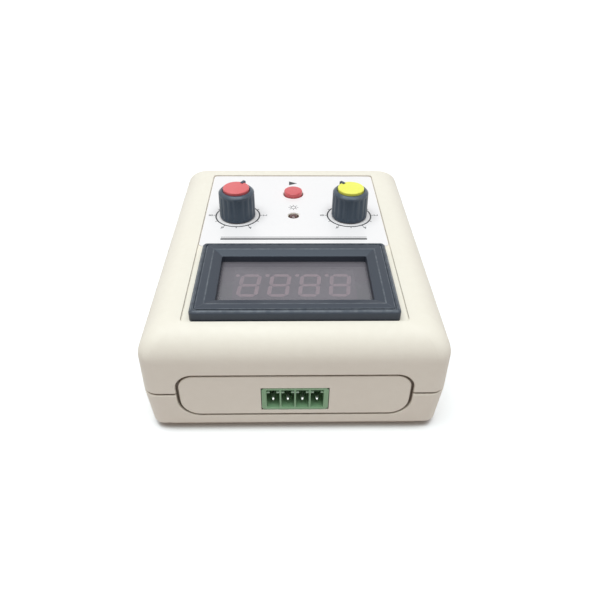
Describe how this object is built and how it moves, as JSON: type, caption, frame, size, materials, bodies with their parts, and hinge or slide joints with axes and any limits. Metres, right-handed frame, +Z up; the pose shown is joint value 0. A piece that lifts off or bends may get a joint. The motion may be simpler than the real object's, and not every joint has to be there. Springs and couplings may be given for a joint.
{
  "type": "component tester",
  "caption": "Bench component tester in a low beige case with a framed panel meter, capped knobs, a round push button, an indicator lamp and a green terminal header in its end wall.",
  "frame": {"origin": "middle of the case's base, on the surface it stands on", "axes": "+Z up, +Y from the terminal end to the supply inlet end, +X to the right of someone who looks along +Y"},
  "size_m": [0.072, 0.09, 0.0394],
  "materials": {
    "case_plastic": "light beige moulded plastic, faint fine texture",
    "label_film": "white printed film with a satin face",
    "bezel_plastic": "black moulded plastic, satin",
    "window_tint": "smoked clear acrylic, polished",
    "display_face": "dark grey display face",
    "display_segments": "unlit pale grey diffuser",
    "knob_plastic": "dark grey moulded plastic",
    "red_cap": "red moulded plastic",
    "yellow_cap": "yellow moulded plastic",
    "red_button": "red moulded plastic",
    "lamp_lens": "dull tinted lamp resin",
    "header_plastic": "green moulded plastic",
    "tinned_contact": "tinned metal",
    "plated_steel": "plated steel",
    "black_plastic": "black moulded plastic",
    "shaft_plastic": "pale moulded plastic",
    "board_fibre": "green coated glass-fibre board",
    "plug_plastic": "off-white moulded plastic",
    "wire_cover": "soft red insulation",
    "ferrite": "dark grey ferrite",
    "copper_turns": "lacquered copper wire turns",
    "capacitor_can": "drawn aluminium can"
  },
  "bodies": {
    "case": {"top_shell": "case_plastic", "bottom_shell": "case_plastic", "front_end_panel": "case_plastic", "rear_end_panel": "case_plastic", "case_screws": "plated_steel", "face_label": "label_film", "meter_bezel": "bezel_plastic", "meter_window": "window_tint", "digit_block": "display_face", "digit_segments": "display_segments", "meter_board": "board_fibre", "meter_plug": "plug_plastic", "meter_wires": "wire_cover", "board_socket": "plug_plastic", "main_board": "board_fibre", "board_screws": "plated_steel", "terminal_header": "header_plastic", "terminal_pins": "tinned_contact", "current_pot_base": "black_plastic", "current_pot_cover": "plated_steel", "voltage_pot_base": "black_plastic", "voltage_pot_cover": "plated_steel", "switch_base": "black_plastic", "switch_cover": "plated_steel", "switch_dome": "plated_steel", "indicator_led": "lamp_lens", "led_leads": "tinned_contact", "jack_body": "black_plastic", "jack_pin": "plated_steel", "jack_terminals": "tinned_contact", "transformer_bobbin": "black_plastic", "transformer_core": "ferrite", "transformer_winding": "copper_turns", "smoothing_capacitors": "capacitor_can", "power_inductor": "ferrite", "switching_transistor": "black_plastic", "rectifier_diodes": "black_plastic", "range_resistors": "black_plastic", "control_chip": "black_plastic", "chip_leads": "tinned_contact"},
    "current_dial": {"current_knob": "knob_plastic", "current_knob_cap": "red_cap", "current_shaft": "shaft_plastic"},
    "voltage_dial": {"voltage_knob": "knob_plastic", "voltage_knob_cap": "yellow_cap", "voltage_shaft": "shaft_plastic"},
    "start_key": {"start_button": "red_button", "switch_plunger": "black_plastic"}
  },
  "joints": [
    {"name": "current_knob_turn", "type": "hinge", "parent": "case", "child": "current_dial", "pos_m": [-0.01633, 0.0095, 0.028], "axis": [0, 0, -1], "range_deg": [0, 304]},
    {"name": "voltage_knob_turn", "type": "hinge", "parent": "case", "child": "voltage_dial", "pos_m": [0.01633, 0.0095, 0.028], "axis": [0, 0, -1], "range_deg": [-296, 8]},
    {"name": "start_press", "type": "slide", "parent": "case", "child": "start_key", "axis": [0, 0, -1], "range_m": [0, 0.00025], "stiffness_N_per_m": 2000, "springref_m": -0.0003}
  ]
}
